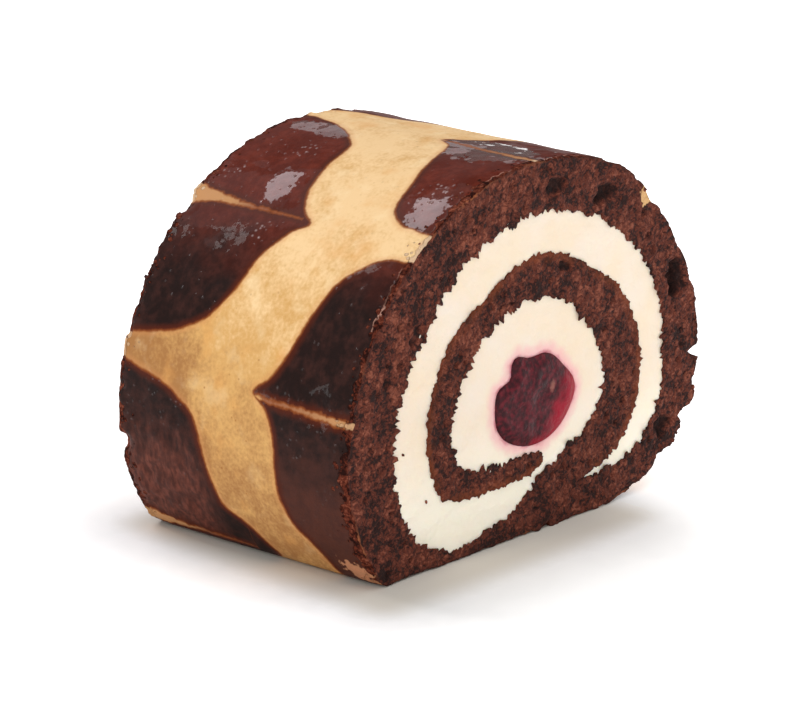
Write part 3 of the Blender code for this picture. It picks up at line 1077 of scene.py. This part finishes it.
def cherry_material():
    nodes = Nodes("cherry")
    middle = nodes.math("SUBTRACT", nodes.x, EYE[0] + LEAN * FRONT), nodes.math("SUBTRACT", nodes.z, EYE[1])
    blush = nodes.sum((middle[0], 0.8), (middle[1], -0.6), (nodes.noise(3.5, 3.0, 1.0), 2.0))
    pulp = nodes.mix(nodes.fade(nodes.noise(1.1, 3.0, 2.0), -0.6, 0.8), colour(50, 16, 22), colour(98, 26, 36))
    base = nodes.mix(nodes.fade(blush, 2.5, 8.0, 0.0, 0.9), pulp, colour(158, 18, 42))
    from_stone = nodes.add("ShaderNodeCombineXYZ", X=middle[0], Z=middle[1]).outputs[0]
    from_stone = nodes.vector("SUBTRACT", from_stone, (3.4, 0.0, 1.0))
    from_stone = nodes.vector("MULTIPLY", from_stone, (1.3, 0.0, 0.8))
    from_stone = nodes.length(from_stone)
    from_stone = nodes.sum(from_stone, (nodes.noise(1.0, 2.0, 5.0), 0.4))
    base = nodes.mix(nodes.fade(from_stone, 0.3, 1.1, 0.7, 0.0), base, colour(150, 96, 84))
    height = nodes.sum((nodes.noise(1.6, 2.0, 3.0), 0.09), (nodes.noise(0.7, 2.0, 4.0), 0.05))
    return nodes.finish(
        Base_Color=base,
        Roughness=0.5,
        Specular_IOR_Level=0.08,
        Normal=nodes.bump(height),
        Coat_Weight=0.12,
        Coat_Roughness=0.15,
    )


def loose_crumb_material():
    nodes = Nodes("loose_crumb")
    base, height = crumb_look(nodes)
    return nodes.finish(Base_Color=base, Roughness=0.85, Specular_IOR_Level=0.25, Normal=nodes.bump(height))


# ---------------------------------------------------------------------------------------------------------
# Floor, light and camera
# ---------------------------------------------------------------------------------------------------------

CAMERA_AZIMUTH = math.radians(-45.862)
CAMERA_ELEVATION = math.radians(17.964)
CAMERA_DISTANCE = 0.760
AIM = Vector((0.00296, 0.00664, 0.02619))
LENS = 179.29  # millimetres, on a sensor 36 mm wide


def toward(azimuth, elevation):
    """The direction from which an eye at this azimuth and elevation looks."""
    flat = math.cos(elevation)
    return Vector((math.sin(azimuth) * flat, -math.cos(azimuth) * flat, math.sin(elevation)))


def add_camera():
    data = bpy.data.cameras.new("camera")
    data.sensor_width = 36.0
    data.lens = LENS
    data.clip_start = 0.01
    camera = bpy.data.objects.new("camera", data)
    camera.location = AIM + CAMERA_DISTANCE * toward(CAMERA_AZIMUTH, CAMERA_ELEVATION)
    camera.rotation_euler = (math.pi / 2 - CAMERA_ELEVATION, 0.0, CAMERA_AZIMUTH)
    bpy.context.scene.collection.objects.link(camera)
    bpy.context.scene.camera = camera


def add_softbox(name, direction, distance, width, height, radiance, tint=(1.0, 1.0, 1.0)):
    """A rectangular light that faces the roll. Its width is level."""
    data = bpy.data.lights.new(name, "AREA")
    data.shape = "RECTANGLE"
    data.size, data.size_y = width, height
    data.energy = math.pi * width * height * radiance
    data.color = tint
    light = bpy.data.objects.new(name, data)
    way = Vector(direction).normalized()
    light.location = Vector((0, 0, 0.035)) + way * distance
    light.rotation_euler = way.to_track_quat("Z", "Y").to_euler()
    bpy.context.scene.collection.objects.link(light)


TENT = 0.9  # the radiance of the tent
DIM_BAND = 0.18
LAMP_TINT = (1.0, 0.92, 0.96)


def on_mirrored_cone(turn):
    """A direction that the glaze mirrors to the camera, this far clockwise from straight over the roll."""
    across = toward(CAMERA_AZIMUTH, CAMERA_ELEVATION)
    reach = math.hypot(across.x, across.z)
    return (reach * math.sin(math.radians(turn)), -across.y, reach * math.cos(math.radians(turn)))


def add_floor():
    bpy.ops.mesh.primitive_plane_add(size=4.0)
    floor = bpy.context.object
    floor.name = "floor"
    nodes = Nodes("floor")
    paper_and_shadow = nodes.mix(nodes.fade(nodes.noise(3.0, 2.0, 1.0), -1.0, 1.0), colour(246, 246, 246), colour(250, 250, 250))
    # Painted shadow: the paper is painted darker within 10 mm of a rectangle round the roll's footprint.
    beyond_shadow_box = nodes.add(
        "ShaderNodeCombineXYZ",
        X=nodes.math("MAXIMUM", nodes.sum(nodes.math("ABSOLUTE", nodes.sum(nodes.x, 10.0)), -32.0), 0.0),
        Y=nodes.math("MAXIMUM", nodes.sum(nodes.math("ABSOLUTE", nodes.sum(nodes.y, 3.0)), -30.0), 0.0),
    )
    beyond_shadow_box = nodes.length(beyond_shadow_box.outputs[0])
    paper_and_shadow = nodes.mix(nodes.fade(beyond_shadow_box, 0.0, 10.0), colour(216, 210, 200), paper_and_shadow)
    # Painted light: the paper glows, less near that rectangle and more towards the right.
    painted_glow = nodes.math("ADD", nodes.fade(beyond_shadow_box, 2.0, 30.0, 0.0, 0.42), nodes.fade(nodes.x, 12.0, 44.0, 0.0, 0.35))
    nodes.finish(Base_Color=paper_and_shadow, Roughness=0.9, Specular_IOR_Level=0.1, Emission_Color=paper_and_shadow, Emission_Strength=painted_glow)
    floor.data.materials.append(nodes.material)


def add_world():
    """A pale tent round the roll, dimmer in the band behind it that its glaze mirrors."""
    world = bpy.data.worlds.new("studio")
    world.use_nodes = True
    tree = world.node_tree
    coordinate = tree.nodes.new("ShaderNodeTexCoord")
    parts = tree.nodes.new("ShaderNodeSeparateXYZ")
    tree.links.new(coordinate.outputs["Generated"], parts.inputs[0])
    steps = ((-0.15, 0.45, TENT, DIM_BAND), (0.82, 0.95, 0.0, TENT - DIM_BAND))
    values = []
    for start, end, low, high in steps:
        step = tree.nodes.new("ShaderNodeMapRange")
        step.interpolation_type = "SMOOTHSTEP"
        tree.links.new(parts.outputs["Y"], step.inputs["Value"])
        for name, value in zip(("From Min", "From Max", "To Min", "To Max"), (start, end, low, high)):
            step.inputs[name].default_value = value
        values.append(step.outputs[0])
    total = tree.nodes.new("ShaderNodeMath")
    for socket, value in zip(total.inputs, values):
        tree.links.new(value, socket)
    tree.links.new(total.outputs[0], tree.nodes["Background"].inputs["Strength"])
    tree.nodes["Background"].inputs["Color"].default_value = (1.0, 1.0, 1.0, 1.0)
    bpy.context.scene.world = world


# ---------------------------------------------------------------------------------------------------------

sponge = build_sponge(skin_material(), crumb_material())
cream = build_cream(cream_material())
cherry = build_cherry(cherry_material())
crumbs = build_crumbs(loose_crumb_material())

for piece, node in ((sponge, "sponge"), (cream, "cream"), (cherry, "cherry")):
    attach(piece, "root")
    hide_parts(node)
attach(crumbs, "root")

add_camera()
add_softbox("window", on_mirrored_cone(-4.0), 1.2, 0.6, 0.6, 3.6, LAMP_TINT)
add_softbox("strip", on_mirrored_cone(50.0), 1.3, 0.8, 0.6, 0.6, LAMP_TINT)
add_softbox("spark", on_mirrored_cone(-26.0), 1.2, 0.16, 0.16, 24.0)
add_softbox("low_spark", on_mirrored_cone(-84.0), 1.2, 0.14, 0.14, 16.0)
add_softbox("fill_left", (-0.85, -0.4, 0.5), 1.3, 0.5, 0.5, 4.0)
add_floor()
add_world()
bpy.context.scene.view_settings.view_transform = "Standard"
